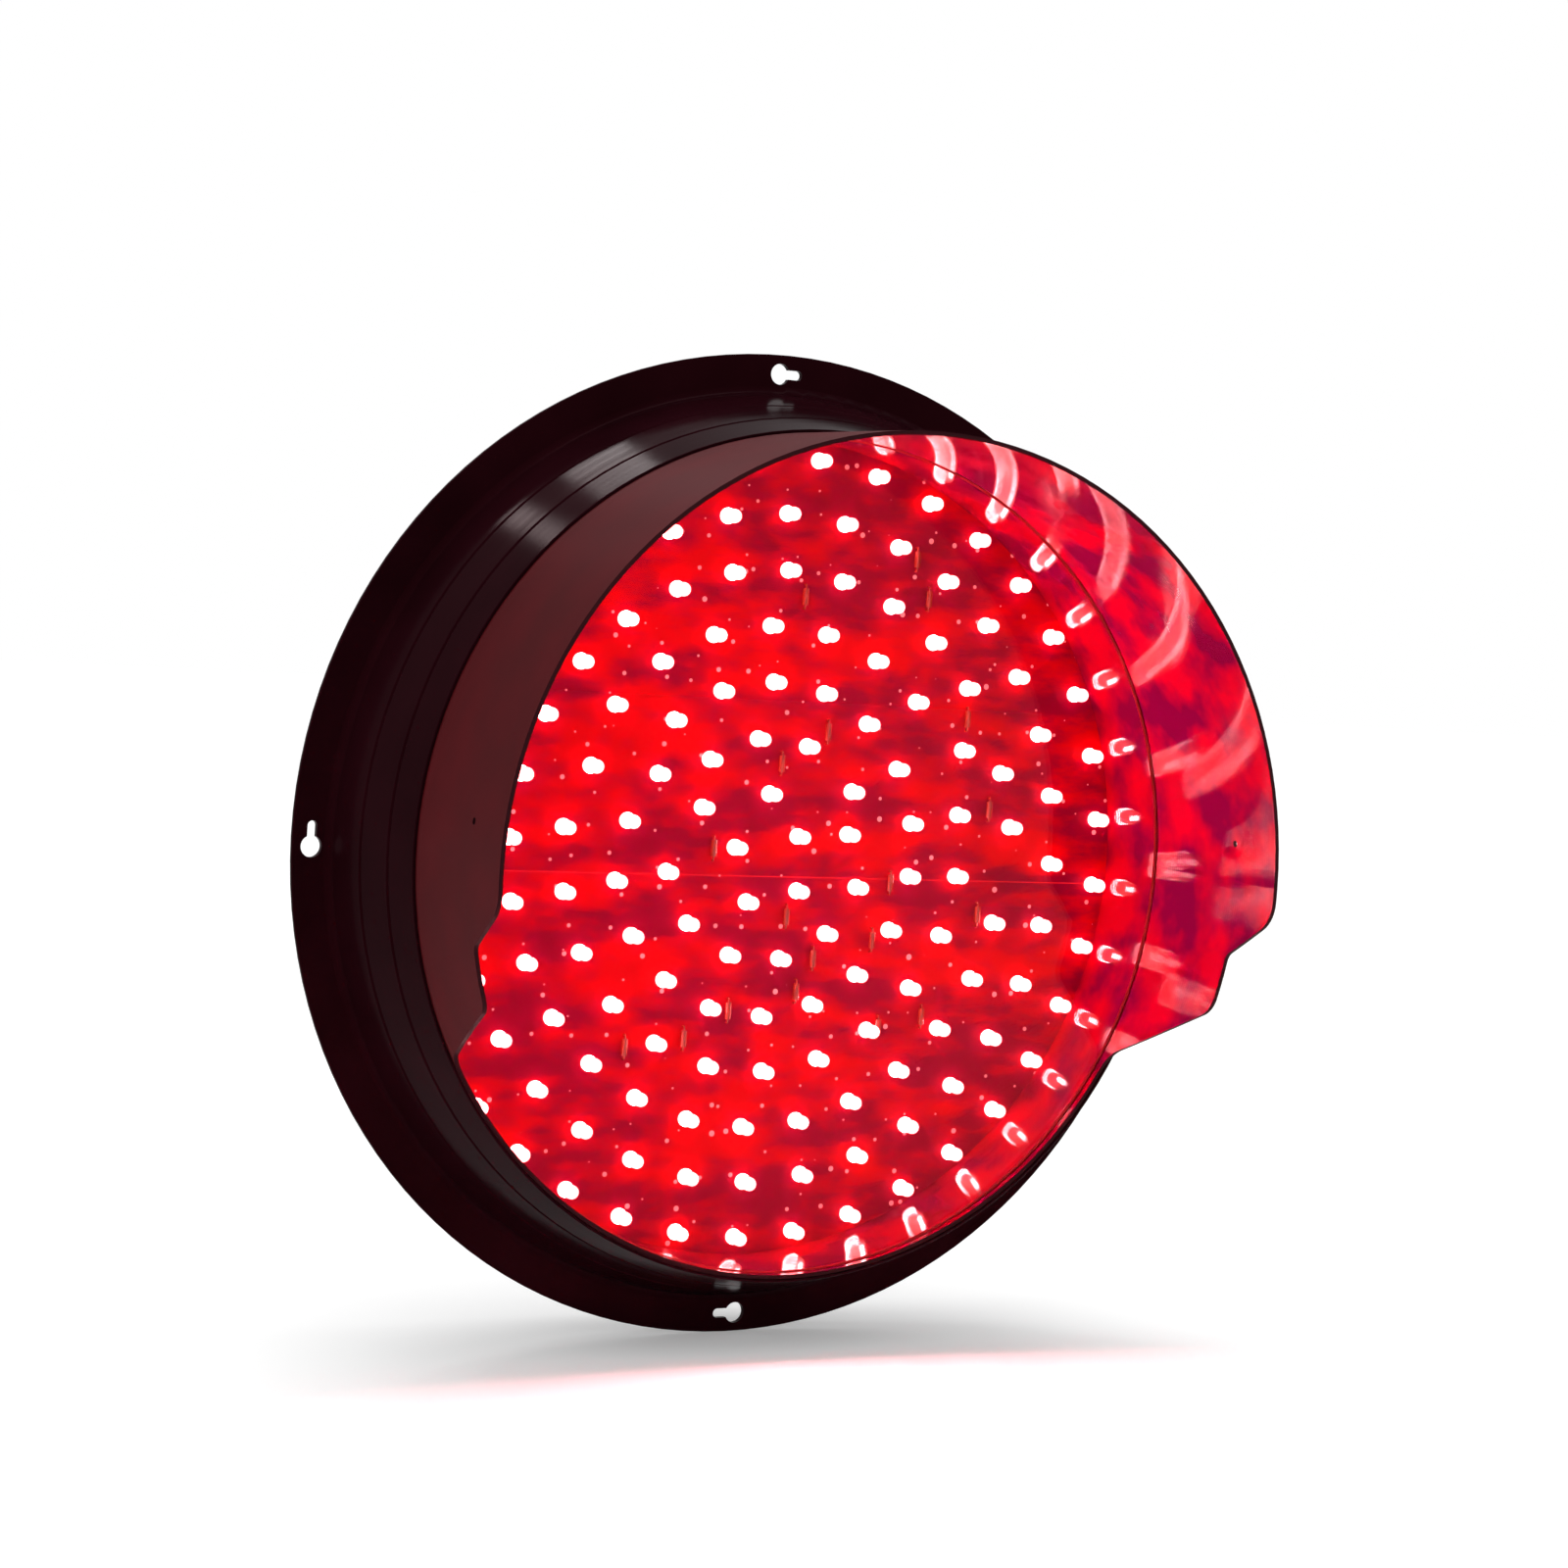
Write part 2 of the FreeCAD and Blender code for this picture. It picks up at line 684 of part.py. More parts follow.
def board_lead(x):
    """A lead that rises from the driver's upper side and bends forward to the board."""
    start = FreeCAD.Vector(x, (driver_front + driver_seat) / 2, driver_height / 2)
    bend_start = start + upward * lead_rise
    bend_end = bend_start + upward * lead_bend + forward * lead_bend
    share = math.sqrt(0.5)
    bend_middle = bend_start + forward * (lead_bend * (1 - share)) + upward * (lead_bend * share)
    end = FreeCAD.Vector(x, board_rear, bend_end.z)
    path = Part.Wire([Part.LineSegment(start, bend_start).toShape(),
                      Part.Arc(bend_start, bend_middle, bend_end).toShape(),
                      Part.LineSegment(bend_end, end).toShape()])
    outline = Part.Wire([Part.Circle(start, upward, wire_radius).toShape()])
    return path.makePipeShell([outline], True, False)


# Gland

def gland_turned(corners):
    """A body of revolution about the gland's own axis."""
    return turned(corners).translated(upward * -gland_drop)


def gland_ring(inner_radius, outer_radius, y_front, y_rear):
    """A flat ring about the gland's axis."""
    return ring(inner_radius, outer_radius, y_front, y_rear).translated(upward * -gland_drop)


def gland_hexagon(y_front, y_rear):
    """A hexagonal prism about the gland's axis."""
    return hex_prism(gland_hex, y_front, y_rear).translated(upward * -gland_drop)


def make_gland():
    """The cable gland at the foot of the cover: body, washer, locknut, seal, slip ring and dome nut."""
    shank_end = gland_foot - gland_shank_length
    pocket_radius = seal_outer_radius + seal_pocket_slack
    body = gland_hexagon(gland_foot, gland_thread_foot).fuse(gland_turned((
        (gland_bore_radius, shank_end, 0), (gland_shank_radius, shank_end, 0),
        (gland_shank_radius, gland_foot, 0), (gland_thread_radius, gland_foot, 0),
        (gland_thread_radius, gland_thread_end, 0), (pocket_radius, gland_thread_end, 0),
        (pocket_radius, seal_foot, 0), (gland_bore_radius, seal_foot, 0))))
    save("gland_body", body.cut(gland_ring(0, gland_bore_radius, gland_foot, gland_thread_foot)))
    washer_bore = gland_shank_radius + gland_hole_slack
    save("gland_washer", gland_ring(washer_bore, washer_radius, cover_floor, gland_foot))
    locknut_front = cover_floor_inside - locknut_thickness
    hole = gland_ring(0, gland_shank_radius + locknut_slack, locknut_front, cover_floor_inside)
    save("gland_locknut", gland_hexagon(locknut_front, cover_floor_inside).cut(hole))
    save("gland_seal", gland_ring(seal_bore_radius, seal_outer_radius, seal_foot, seal_end))
    ring_end = seal_end + slip_ring_thickness
    save("gland_slip_ring", gland_ring(slip_ring_bore, slip_ring_radius, seal_end, ring_end))
    make_gland_nut(gland_thread_foot + gland_nut_lift, ring_end)


def make_gland_nut(foot, ring_end):
    """The dome nut that presses the seal through the slip ring."""
    end = ring_end + gland_nut_end
    reach = gland_hex / 2 / math.cos(math.pi / 6)
    bore = gland_thread_radius + gland_thread_slack
    dome = gland_turned(((0, foot, 0), (reach, foot, 0), (reach, foot + gland_nut_hex_length, 0),
                         (gland_nut_tip_radius, end, gland_nut_round), (0, end, 0)))
    nut = gland_hexagon(foot, end).common(dome)
    nut = nut.cut(gland_ring(0, bore, foot, ring_end))
    save("gland_nut", nut.cut(gland_ring(0, slip_ring_bore, ring_end, end)))


# Breather

def make_breather():
    """The plug of the vent hole: a slotted head outside, and a barb behind the cover's floor."""
    head_end = cover_floor + breather_head_height
    stem = breather_hole_radius - breather_stem_slack
    barb_rear = cover_floor_inside - breather_stem_slack
    barb = breather_hole_radius + breather_barb
    plug = turned(((0, head_end, 0), (breather_head_radius, head_end, breather_barb),
                   (breather_head_radius, cover_floor, 0), (stem, cover_floor, 0), (stem, barb_rear, 0),
                   (barb, barb_rear, 0), (stem, barb_rear - 2 * breather_barb, 0),
                   (0, barb_rear - 2 * breather_barb, 0)))
    for number in (-1, 0, 1):
        middle = number * 2 * breather_slot_width
        across = (-breather_head_radius, breather_head_radius)
        deep = (head_end - breather_slot_depth, head_end)
        wide = (middle - breather_slot_width / 2, middle + breather_slot_width / 2)
        plug = plug.cut(block(across, deep, wide))
    save("breather_plug", plug.translated(upward * breather_rise))


make_housing()
make_lens()
make_hood()
make_board()
make_leds()
make_board_fittings()
make_cover()
make_cover_seal()
make_driver()
make_terminals()
make_leads()
make_gland()
make_breather()
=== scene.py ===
import math

import bpy
from mathutils import Matrix, Vector


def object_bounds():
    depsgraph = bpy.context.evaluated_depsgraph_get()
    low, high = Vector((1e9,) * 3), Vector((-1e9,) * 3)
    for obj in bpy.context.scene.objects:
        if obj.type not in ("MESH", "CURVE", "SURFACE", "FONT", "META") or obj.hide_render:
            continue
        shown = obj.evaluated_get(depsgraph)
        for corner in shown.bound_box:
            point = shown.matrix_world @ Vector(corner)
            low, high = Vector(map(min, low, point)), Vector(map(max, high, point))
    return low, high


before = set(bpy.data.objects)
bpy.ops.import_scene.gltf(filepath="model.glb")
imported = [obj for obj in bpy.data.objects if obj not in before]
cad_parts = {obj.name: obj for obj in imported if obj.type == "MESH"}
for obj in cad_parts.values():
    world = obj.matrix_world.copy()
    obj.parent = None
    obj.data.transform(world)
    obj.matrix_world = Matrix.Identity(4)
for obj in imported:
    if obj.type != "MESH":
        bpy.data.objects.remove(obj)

cadLow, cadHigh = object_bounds()
scene = bpy.context.scene
mm = 0.001
rearward = Vector((0, 1, 0))  # the head's axis, front to rear
white = (1, 1, 1, 1)
polycarbonateIor = 1.586


def linear(hexColour):
    # sRGB to linear: a channel up to 0.04045 is divided by 12.92, a higher one goes through a power curve
    channels = [int(hexColour[i:i + 2], 16) / 255 for i in (1, 3, 5)]
    return tuple(channel / 12.92 if channel <= 0.04045 else ((channel + 0.055) / 1.055) ** 2.4
                 for channel in channels) + (1.0,)


def perSize(size):
    # the scale of a texture whose features are so many millimetres across, as Object coordinates are metres
    return 1 / (size * mm)


def addNode(tree, kind, settings=None, inputs=None, stops=()):
    # one node: its settings, its inputs as values or as the nodes and sockets that feed them, a ramp's stops
    node = tree.nodes.new("ShaderNode" + kind)
    for key, value in (settings or {}).items():
        setattr(node, key, value)
    for key, value in (inputs or {}).items():
        if isinstance(value, bpy.types.Node):
            value = value.outputs[0]
        if isinstance(value, bpy.types.NodeSocket):
            tree.links.new(value, node.inputs[key])
        else:
            node.inputs[key].default_value = value
    for number, (place, colour) in enumerate(stops):
        elements = node.color_ramp.elements
        element = elements[number] if number < len(elements) else elements.new(place)
        element.position, element.color = place, linear(colour)
    return node


def newMaterial(name):
    material = bpy.data.materials.new(name)
    material.use_nodes = True
    material.node_tree.nodes.clear()
    return material, material.node_tree


def closeMaterial(tree, values, height=None, heightSize=0.0):
    # one Principled shader, with its relief if it has one; heightSize is in millimetres
    if height is not None:
        values["Normal"] = addNode(tree, "Bump", inputs={"Height": height, "Distance": heightSize * mm})
    shader = addNode(tree, "BsdfPrincipled", inputs=values)
    addNode(tree, "OutputMaterial", inputs={0: shader})


def dress(material, *nodes):
    for node in nodes:
        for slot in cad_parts[node].material_slots:
            slot.material = material


# in the dictionaries below, sizes and heights of a pattern are millimetres, a pair of roughness values is
# the range that its gloss varies in, and a list of places with colours is a ramp's stops

# housing

housingLook = {"tones": [(0.35, "#1C050A"), (0.7, "#270910")], "cloudSize": 55,
               "roughness": (0.08, 0.22), "polishSize": 2.4, "polishHeight": 0.016,
               "specularLevel": 0.014, "specularTint": "#FF5860"}


def polycarbonateMoulded():
    # moulded polycarbonate from a polished mould: deep colour, clean gloss, and fine rings round the axis
    # that the turning of the mould left
    material, tree = newMaterial("polycarbonateMoulded")
    coords = addNode(tree, "TexCoord").outputs["Object"]
    place = addNode(tree, "SeparateXYZ", inputs={0: coords}).outputs
    flat = addNode(tree, "CombineXYZ", inputs={0: place[0], 1: place[2]})
    radius = addNode(tree, "VectorMath", {"operation": "LENGTH"}, {0: flat}).outputs["Value"]
    section = addNode(tree, "CombineXYZ", inputs={0: radius, 1: place[1]})
    rings = addNode(tree, "TexNoise", inputs={
        "Vector": section, "Scale": perSize(housingLook["polishSize"]), "Detail": 3})
    clouds = addNode(tree, "TexNoise", inputs={
        "Vector": coords, "Scale": perSize(housingLook["cloudSize"]), "Detail": 4})
    colour = addNode(tree, "ValToRGB", inputs={0: clouds}, stops=housingLook["tones"])
    gloss = addNode(tree, "MapRange", inputs={
        "Value": rings, "To Min": housingLook["roughness"][0], "To Max": housingLook["roughness"][1]})
    closeMaterial(tree, {"Base Color": colour, "Roughness": gloss, "IOR": polycarbonateIor,
                         "Specular IOR Level": housingLook["specularLevel"],
                         "Specular Tint": linear(housingLook["specularTint"])},
                  rings, housingLook["polishHeight"])
    return material


dress(polycarbonateMoulded(), "housing")

# hood and reflector: the same formed sheet, matte outside and polished inside

# the inside tones are painted red light from the diodes, brighter than the outside of the same sheet, with
# darker magenta patches of painted shade
sheetLook = {"outside": [(0.3, "#390105"), (0.7, "#450107")], "outsideRoughness": 0.6,
             "inside": [(0.4, "#4C0024"), (0.6, "#860016")], "insideRoughness": 0.06,
             "hoodEdgePaintedShade": "#0C0206", "reflectorEdgePaintedLight": "#C42830", "cloudSize": 24, "grainSize": 0.7,
             "ridgePitch": 1.3, "reliefHeight": 0.011, "anisotropy": 0.9, "specularLevel": 0.3,
             "specularTint": "#FF8088", "wallFacing": 0.6}


def polycarbonateFormedSheet(name, paintedEdgeTone):
    # polycarbonate sheet formed over a ridged plug: matte grain outside, and inside a polish with fine ridges
    # round the axis, which draws each diode's reflection out along the wall; the inside is painted a brighter
    # red than the outside, as painted red light from the diodes, with darker magenta clouds of painted shade;
    # the edges are painted too, near black on the hood, where they are sawn, as painted shade, and bright red
    # on the reflector as painted red light
    material, tree = newMaterial(name)
    coords = addNode(tree, "TexCoord").outputs["Object"]
    # a face is wall where it looks squarely away from the axis or towards it, and otherwise it is edge
    normal = addNode(tree, "NewGeometry").outputs["Normal"]
    flat = addNode(tree, "VectorMath", {"operation": "MULTIPLY"}, {0: coords, 1: (1, 0, 1)})
    outward = addNode(tree, "VectorMath", {"operation": "NORMALIZE"}, {0: flat})
    facing = addNode(tree, "VectorMath", {"operation": "DOT_PRODUCT"},
                     {0: outward, 1: normal}).outputs["Value"]
    isOutside = addNode(tree, "Math", {"operation": "GREATER_THAN"},
                        {0: facing, 1: sheetLook["wallFacing"]})
    isInside = addNode(tree, "Math", {"operation": "LESS_THAN"},
                       {0: facing, 1: -sheetLook["wallFacing"]})
    clouds = addNode(tree, "TexNoise", inputs={
        "Vector": coords, "Scale": perSize(sheetLook["cloudSize"]), "Detail": 3})
    outside = addNode(tree, "ValToRGB", inputs={0: clouds}, stops=sheetLook["outside"])
    # inside: painted red light from the diodes, with darker magenta clouds of painted shade
    inside = addNode(tree, "ValToRGB", inputs={0: clouds}, stops=sheetLook["inside"])
    # the edge tone is painted: near black on the hood as painted shade, bright red on the reflector as
    # painted red light
    edged = addNode(tree, "Mix", {"data_type": "RGBA"},
                    {0: isOutside, 6: linear(paintedEdgeTone), 7: outside}).outputs[2]
    colour = addNode(tree, "Mix", {"data_type": "RGBA"}, {0: isInside, 6: edged, 7: inside}).outputs[2]
    rough = addNode(tree, "MapRange", inputs={
        "Value": isInside, "To Min": sheetLook["outsideRoughness"],
        "To Max": sheetLook["insideRoughness"]})
    grain = addNode(tree, "TexNoise", inputs={
        "Vector": coords, "Scale": perSize(sheetLook["grainSize"])})
    depth = addNode(tree, "SeparateXYZ", inputs={0: coords}).outputs[1]
    phase = addNode(tree, "Math", {"operation": "MULTIPLY"},
                    {0: depth, 1: 2 * math.pi * perSize(sheetLook["ridgePitch"])})
    ridges = addNode(tree, "Math", {"operation": "SINE"}, {0: phase})
    relief = addNode(tree, "Mix", inputs={0: isInside, 2: grain, 3: ridges})
    axis = addNode(tree, "CombineXYZ", inputs={1: 1.0})
    closeMaterial(tree, {"Base Color": colour, "Roughness": rough, "IOR": polycarbonateIor,
                         "Specular IOR Level": sheetLook["specularLevel"],
                         "Specular Tint": linear(sheetLook["specularTint"]),
                         "Anisotropic": sheetLook["anisotropy"], "Tangent": axis},
                  relief, sheetLook["reliefHeight"])
    return material


# the hood's sawn edges are painted near black, as painted shade
dress(polycarbonateFormedSheet("polycarbonateFormedSawnShadedEdge", sheetLook["hoodEdgePaintedShade"]), "hood")
# the reflector's edges are painted bright red, as painted red light from the diodes
dress(polycarbonateFormedSheet("polycarbonateFormedMouldedLitEdge", sheetLook["reflectorEdgePaintedLight"]), "reflector")

# board

# the board's dark magenta tone is painted shade between the rows of diodes, and its pale pink dots are
# painted glints
boardLook = {"resistAndPaintedShade": [(0.42, "#6A002A"), (0.6, "#AA000E")], "resistAndShadeSize": 13, "resistAndShadeStretch": 0.35,
             "filmHeight": 0.3, "paintedGlint": "#F0A8B0", "paintedGlintSpacing": 13, "paintedGlintReach": 0.09,
             "line": "#B8202C", "lineLevel": -10, "lineHalfWidth": 0.2, "roughness": 0.3,
             "ior": 1.5, "specularLevel": 0.25, "specularTint": "#FF0810"}


def solderResistPrinted():
    # solder resist printed on laminate: a thin glossy film with a cloudy relief where it lies thicker; its
    # red is broken by dark magenta clouds, stretched sideways, which are painted shade between the rows of
    # diodes; small pale pink dots scattered over it are painted glints of the diodes' light, and one fine
    # score line runs across
    material, tree = newMaterial("solderResistPrinted")
    coords = addNode(tree, "TexCoord").outputs["Object"]
    wide = addNode(tree, "Mapping", inputs={"Vector": coords, "Scale": (boardLook["resistAndShadeStretch"], 1, 1)})
    clouds = addNode(tree, "TexNoise", inputs={
        "Vector": wide, "Scale": perSize(boardLook["resistAndShadeSize"]), "Detail": 6, "Roughness": 0.58})
    # red resist with dark magenta clouds of painted shade, stretched sideways between the rows of diodes
    resistAndPaintedShade = addNode(tree, "ValToRGB", inputs={0: clouds}, stops=boardLook["resistAndPaintedShade"])
    place = addNode(tree, "SeparateXYZ", inputs={0: coords}).outputs
    face = addNode(tree, "CombineXYZ", inputs={0: place[0], 1: place[2]})
    # pale pink dots scattered at random over the board are painted glints of the diodes' light
    cells = addNode(tree, "TexVoronoi", {"voronoi_dimensions": "2D"},
                    {"Vector": face, "Scale": perSize(boardLook["paintedGlintSpacing"])}).outputs
    # each painted glint dot reaches its own share of the spacing, between nothing and its largest reach
    reach = addNode(tree, "MapRange", inputs={"Value": cells["Color"], "To Max": boardLook["paintedGlintReach"]})
    isPaintedGlint = addNode(tree, "Math", {"operation": "LESS_THAN"}, {0: cells["Distance"], 1: reach})
    isLine = addNode(tree, "Math", {"operation": "COMPARE"}, {
        0: place[2], 1: boardLook["lineLevel"] * mm, 2: boardLook["lineHalfWidth"] * mm})
    scored = addNode(tree, "Mix", {"data_type": "RGBA"},
                     {0: isLine, 6: resistAndPaintedShade, 7: linear(boardLook["line"])}).outputs[2]
    colour = addNode(tree, "Mix", {"data_type": "RGBA"},
                     {0: isPaintedGlint, 6: scored, 7: linear(boardLook["paintedGlint"])}).outputs[2]
    closeMaterial(tree, {"Base Color": colour, "Roughness": boardLook["roughness"],
                         "IOR": boardLook["ior"], "Specular IOR Level": boardLook["specularLevel"],
                         "Specular Tint": linear(boardLook["specularTint"])},
                  clouds, boardLook["filmHeight"])
    return material


dress(solderResistPrinted(), "led_board")

# diodes

ledLook = {"rings": 7, "body": "#FFF4F2", "glow": [(0.92, "#260707"), (0.97, "#FFC4CC")],
           "strength": 600.0, "roughness": 0.12, "ior": 1.54}


def epoxyCastLit():
    # clear epoxy cast round a chip at full drive: the whole body glows, and its domed tip gathers most light
    material, tree = newMaterial("epoxyCastLit")
    normal = addNode(tree, "NewGeometry").outputs["Normal"]
    forward = addNode(tree, "VectorMath", {"operation": "DOT_PRODUCT"},
                      {0: normal, 1: -rearward}).outputs["Value"]
    glow = addNode(tree, "ValToRGB", inputs={0: forward}, stops=ledLook["glow"])
    closeMaterial(tree, {"Base Color": linear(ledLook["body"]), "Roughness": ledLook["roughness"],
                         "IOR": ledLook["ior"], "Emission Color": glow,
                         "Emission Strength": ledLook["strength"]})
    return material


dress(epoxyCastLit(), *[f"led_ring_{ring + 1}" for ring in range(ledLook["rings"])], "led_strays")

# lens

lensLook = {"colour": "#FFFFFF", "roughness": 0.0, "specularLevel": 0.05, "specularTint": "#D80000"}


def polycarbonateClear():
    # clear polished polycarbonate, coated against glare: it hardly mirrors, and its shadow is left out, so
    # that the diodes light the hood and the floor through it
    material, tree = newMaterial("polycarbonateClear")
    glass = addNode(tree, "BsdfPrincipled", inputs={
        "Base Color": linear(lensLook["colour"]), "Roughness": lensLook["roughness"],
        "IOR": polycarbonateIor, "Transmission Weight": 1.0,
        "Specular IOR Level": lensLook["specularLevel"],
        "Specular Tint": linear(lensLook["specularTint"])})
    clear = addNode(tree, "BsdfTransparent")
    isShadow = addNode(tree, "LightPath").outputs["Is Shadow Ray"]
    both = addNode(tree, "MixShader", inputs={0: isShadow, 1: glass, 2: clear})
    addNode(tree, "OutputMaterial", inputs={0: both})
    return material


dress(polycarbonateClear(), "lens")
print("housing, hood, reflector, board, diodes and lens have their materials")

# the smaller pieces and the rear, two close tones with a fine relief each

plainFinish = {"cloudSize": 14, "toneStops": (0.35, 0.65), "glossSpread": 0.08, "ior": 1.5}
plainLooks = {
    "resistorLacquerDipped": {
        "nodes": ["resistors"],
        "tones": ("#7A1E10", "#8E2C16"), "roughness": 0.25, "grainSize": 0.6, "grainHeight": 0.02},
    "nitrileRubberMoulded": {
        "nodes": ["cover_gasket", "gland_washer", "gland_seal"],
        "tones": ("#0E0E0F", "#161617"), "roughness": 0.75, "grainSize": 0.5, "grainHeight": 0.04},
    # the gasket's bright red is partly its own colour and partly painted red light from the diodes, the same
    # red as the reflector's painted edge
    "siliconeRubberAndRedLight": {
        "nodes": ["lens_gasket"],
        "tones": ("#C42830", "#D03038"), "roughness": 0.4, "grainSize": 0.5, "grainHeight": 0.02},
    # spark-eroded grain is about 0.3 mm across, and is drawn larger and deeper, so that it shows
    "absErodedMould": {
        "nodes": ["rear_cover"],
        "tones": ("#121114", "#201E22"), "roughness": 0.5, "grainSize": 1.8, "grainHeight": 0.5},
    "polyamideMoulded": {
        "nodes": ["gland_body", "gland_locknut", "gland_slip_ring", "gland_nut", "breather_plug"],
        "tones": ("#101011", "#1A1A1C"), "roughness": 0.4, "grainSize": 0.6, "grainHeight": 0.02},
    "polyamideTinted": {
        "nodes": ["terminal_block"],
        "tones": ("#1E5B33", "#286C3E"), "roughness": 0.45, "grainSize": 0.6, "grainHeight": 0.02},
    "pvcSleeveExtruded": {
        "nodes": ["driver_leads", "board_leads"],
        "tones": ("#8C1116", "#9C1A1E"), "roughness": 0.45, "grainSize": 0.8, "grainHeight": 0.02},
}


def plainMoulded(name, look):
    # a moulded, dipped or extruded plastic or rubber: soft clouds of two tones, and a fine grain that shows
    # in its gloss and its relief
    material, tree = newMaterial(name)
    coords = addNode(tree, "TexCoord").outputs["Object"]
    clouds = addNode(tree, "TexNoise", inputs={
        "Vector": coords, "Scale": perSize(plainFinish["cloudSize"]), "Detail": 4})
    grain = addNode(tree, "TexNoise", inputs={"Vector": coords, "Scale": perSize(look["grainSize"])})
    tone = addNode(tree, "ValToRGB", inputs={0: clouds},
                   stops=zip(plainFinish["toneStops"], look["tones"]))
    gloss = addNode(tree, "MapRange", inputs={
        "Value": grain, "To Min": look["roughness"] - plainFinish["glossSpread"],
        "To Max": look["roughness"] + plainFinish["glossSpread"]})
    closeMaterial(tree, {"Base Color": tone, "Roughness": gloss, "IOR": plainFinish["ior"]},
                  grain, look["grainHeight"])
    return material


for name, look in plainLooks.items():
    dress(plainMoulded(name, look), *look["nodes"])

metalFinish = {"cloudSize": 5, "toneStops": (0.35, 0.65), "glossBelow": 0.08, "glossAbove": 0.1,
               "grainHeight": 0.01}
metalLooks = {
    "steelZincPlated": {
        "nodes": ["board_screws", "cover_screws", "driver_screws"],
        "tones": ("#B6BAC4", "#CDD0D6"), "roughness": 0.3, "grainSize": 0.5},
    "aluminiumBlastedAnodised": {
        "nodes": ["driver_case", "driver_lid"],
        "tones": ("#AEB0B4", "#BDBFC3"), "roughness": 0.45, "grainSize": 0.4},
    "brassNickelPlated": {
        "nodes": ["terminal_screws"],
        "tones": ("#C4B488", "#D4C49A"), "roughness": 0.28, "grainSize": 0.5},
}


def metalFinished(name, look):
    # a plated or blasted metal: two close tones and two levels of gloss where the finish lies unevenly, and
    # a fine grain in its relief
    material, tree = newMaterial(name)
    coords = addNode(tree, "TexCoord").outputs["Object"]
    clouds = addNode(tree, "TexNoise", inputs={
        "Vector": coords, "Scale": perSize(metalFinish["cloudSize"]), "Detail": 3})
    grain = addNode(tree, "TexNoise", inputs={"Vector": coords, "Scale": perSize(look["grainSize"])})
    tone = addNode(tree, "ValToRGB", inputs={0: clouds},
                   stops=zip(metalFinish["toneStops"], look["tones"]))
    gloss = addNode(tree, "MapRange", inputs={
        "Value": clouds, "To Min": look["roughness"] - metalFinish["glossBelow"],
        "To Max": look["roughness"] + metalFinish["glossAbove"]})
    closeMaterial(tree, {"Base Color": tone, "Roughness": gloss, "Metallic": 1.0},
                  grain, metalFinish["grainHeight"])
    return material


for name, look in metalLooks.items():
    dress(metalFinished(name, look), *look["nodes"])
print("the smaller pieces and the rear have their materials")

# camera: left of the lamp's axis and a little above it, rolled a few degrees; angles are degrees, lengths
# metres, and focal length and sensor millimetres

cameraPlace = {"azimuth": -27.915, "elevation": 5.443, "roll": 4.4, "distance": 1.2712,
               "right": 0.00986, "up": 0.02337, "aimDepth": -0.002, "focalLength": 79.5,
               "sensorWidth": 36, "clip": (0.05, 50)}


def addCamera():
    turn, lift = math.radians(cameraPlace["azimuth"]), math.radians(cameraPlace["elevation"])
    back = Vector((math.sin(turn) * math.cos(lift), -math.cos(turn) * math.cos(lift), math.sin(lift)))
    right = Vector((math.cos(turn), math.sin(turn), 0))
    up = back.cross(right)
    place = right * cameraPlace["right"] + up * cameraPlace["up"] + back * cameraPlace["distance"]
    roll = Matrix.Rotation(-math.radians(cameraPlace["roll"]), 3, "Y")
    data = bpy.data.cameras.new("camera")
    data.lens, data.sensor_width = cameraPlace["focalLength"], cameraPlace["sensorWidth"]
    data.clip_start, data.clip_end = cameraPlace["clip"]
    camera = bpy.data.objects.new("camera", data)
    axes = Matrix((roll @ right, roll @ up, roll @ back)).transposed().to_4x4()
    axes.translation = roll @ place + rearward * cameraPlace["aimDepth"]
    camera.matrix_world = axes
    scene.collection.objects.link(camera)
    scene.camera = camera


addCamera()
print("camera is in place")

# floor, sky and lamps

stageLook = {"floor": "#F0F0F0", "floorRoughness": 0.9, "floorLift": 0.24, "floorSize": 12.0,
             "fill": 0.7}
lampLooks = {
    "overheadSun": {"kind": "SUN", "place": (0.15, 0.25, 3.0), "aim": (0, 0, 0),
                    "settings": {"energy": 0.9, "angle": math.radians(40)}},
    # two narrow lamps over the rear: the drum mirrors them as short streaks at its upper left
    "stripLeft": {"kind": "AREA", "place": (-0.75, 1.147, 1.605), "aim": (-0.11, -0.02, 0.11),
                  "settings": {"shape": "RECTANGLE", "size": 0.22, "size_y": 0.1, "energy": 2.0}},
    "stripRight": {"kind": "AREA", "place": (-0.18, 1.222, 1.695), "aim": (-0.08, -0.02, 0.13),
                   "settings": {"shape": "RECTANGLE", "size": 0.4, "size_y": 0.08, "energy": 2.8}},
}


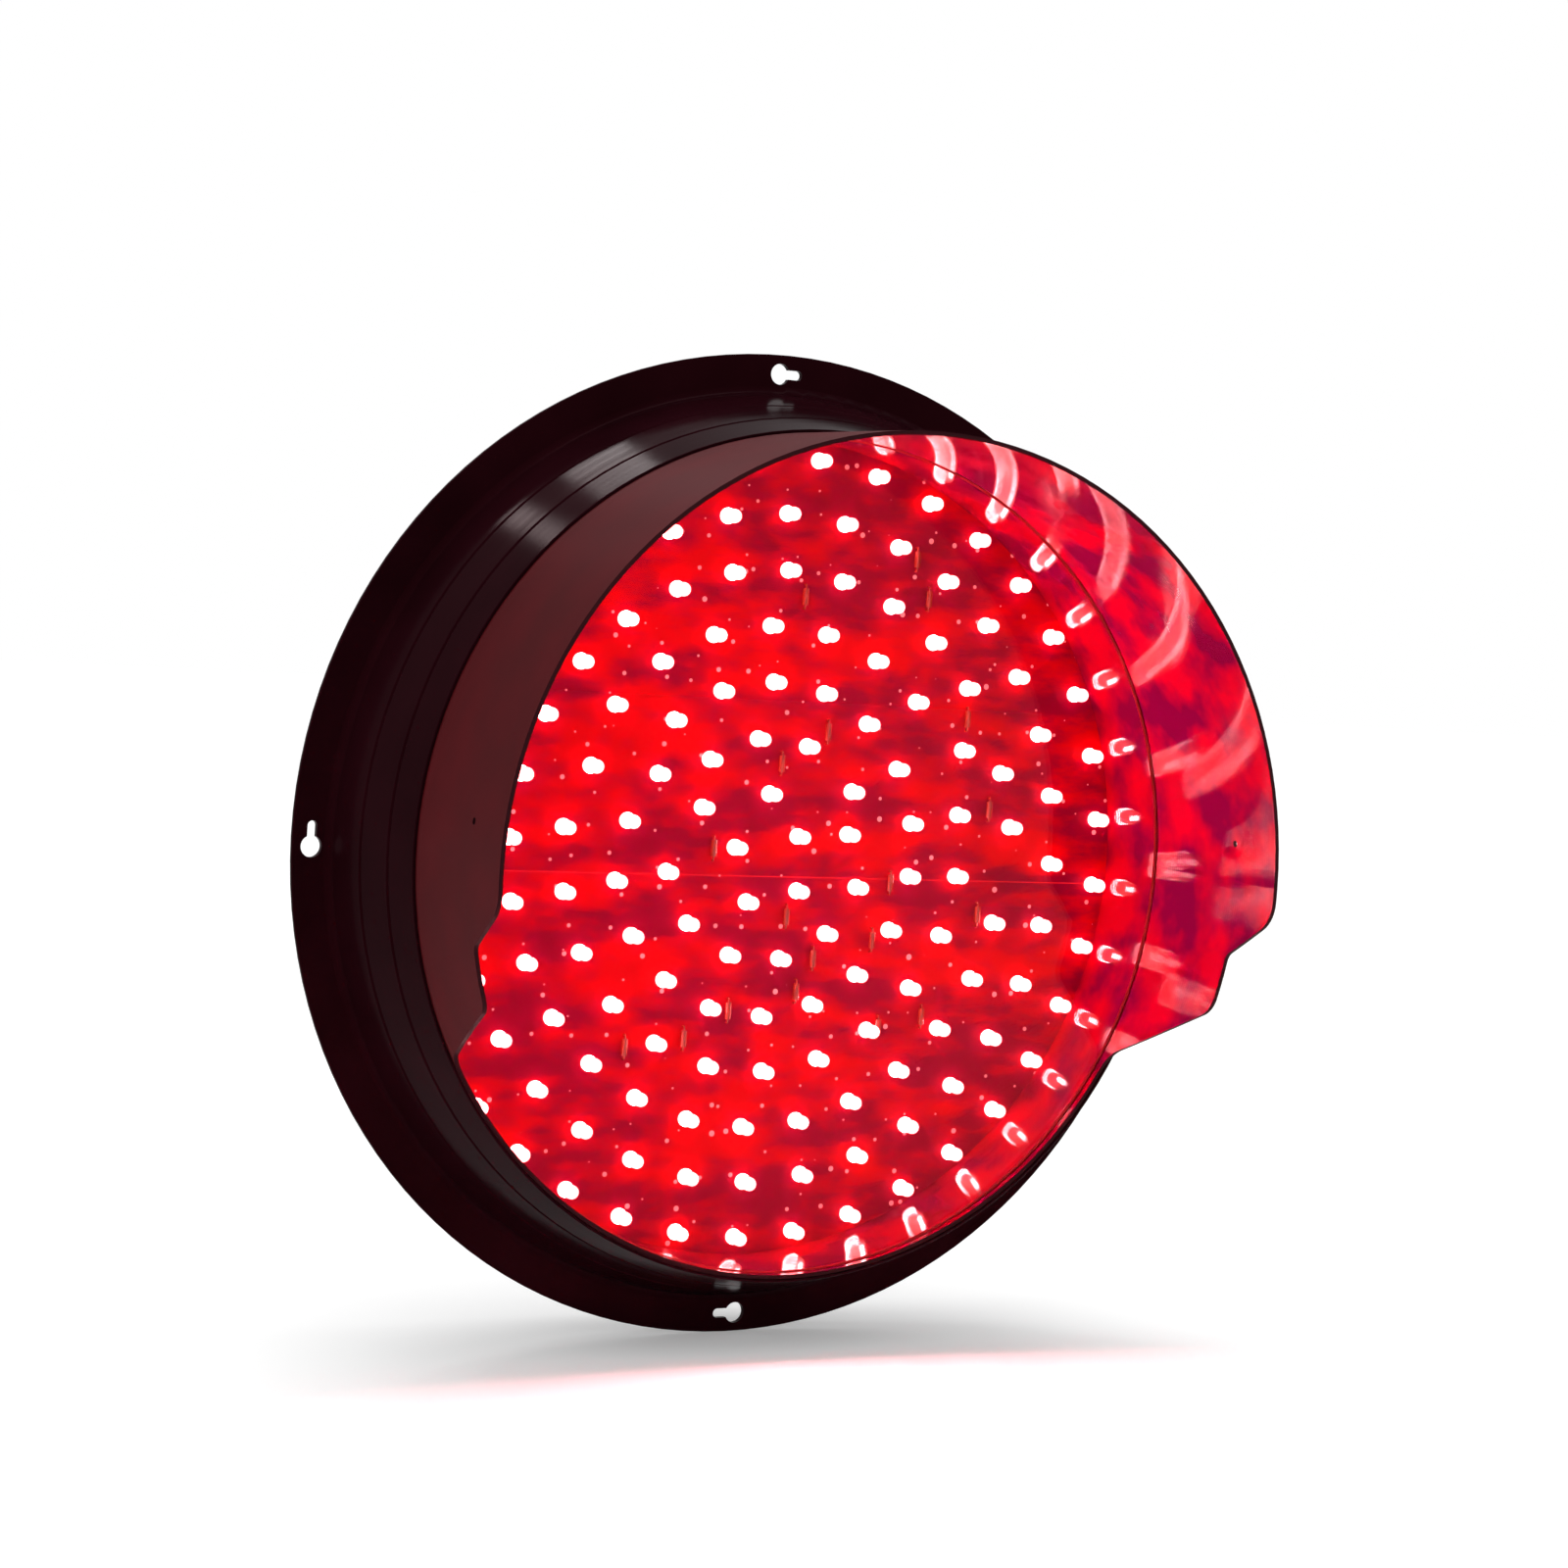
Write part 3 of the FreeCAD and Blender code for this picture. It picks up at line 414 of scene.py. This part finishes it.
def seenRays(tree):
    # 1 where a surface is seen, also in a mirror or through glass, and 0 where it only lights another
    path = addNode(tree, "LightPath").outputs
    direct = addNode(tree, "Math", {"operation": "MAXIMUM"},
                     {0: path["Is Camera Ray"], 1: path["Is Glossy Ray"]})
    return addNode(tree, "Math", {"operation": "MAXIMUM"}, {0: direct, 1: path["Is Transmission Ray"]})


def addWorld():
    world = bpy.data.worlds.new("studio")
    world.use_nodes = True
    tree = world.node_tree
    tree.nodes.clear()
    backdrop = addNode(tree, "Background", inputs={0: white, 1: 1.0})
    fill = addNode(tree, "Background", inputs={0: white, 1: stageLook["fill"]})
    both = addNode(tree, "MixShader", inputs={0: seenRays(tree), 1: fill, 2: backdrop})
    addNode(tree, "OutputWorld", inputs={0: both})
    scene.world = world


def addFloor():
    # a square sheet of pale paper at the level of the head's lowest point, lifted to white where it is seen
    half, level = stageLook["floorSize"] / 2, cadLow.z
    corners = [(-half, -half, level), (half, -half, level), (half, half, level), (-half, half, level)]
    mesh = bpy.data.meshes.new("floor")
    mesh.from_pydata(corners, [], [(0, 1, 2, 3)])
    floor = bpy.data.objects.new("floor", mesh)
    scene.collection.objects.link(floor)
    material, tree = newMaterial("paperBackdrop")
    paper = addNode(tree, "BsdfPrincipled", inputs={
        "Base Color": linear(stageLook["floor"]), "Roughness": stageLook["floorRoughness"],
        "Specular IOR Level": 0.0})
    lift = addNode(tree, "Math", {"operation": "MULTIPLY"}, {0: seenRays(tree), 1: stageLook["floorLift"]})
    glow = addNode(tree, "Emission", inputs={"Color": white, "Strength": lift})
    both = addNode(tree, "AddShader", inputs={0: paper, 1: glow})
    addNode(tree, "OutputMaterial", inputs={0: both})
    mesh.materials.append(material)


def addLamp(name, look):
    data = bpy.data.lights.new(name, look["kind"])
    for key, value in look["settings"].items():
        setattr(data, key, value)
    lamp = bpy.data.objects.new(name, data)
    lamp.location = look["place"]
    lamp.rotation_mode = "QUATERNION"
    lamp.rotation_quaternion = (Vector(look["aim"]) - lamp.location).to_track_quat("-Z", "Y")
    scene.collection.objects.link(lamp)


addWorld()
addFloor()
for name, look in lampLooks.items():
    addLamp(name, look)
scene.view_settings.view_transform = "Standard"
print("floor, sky and lamps are in place")
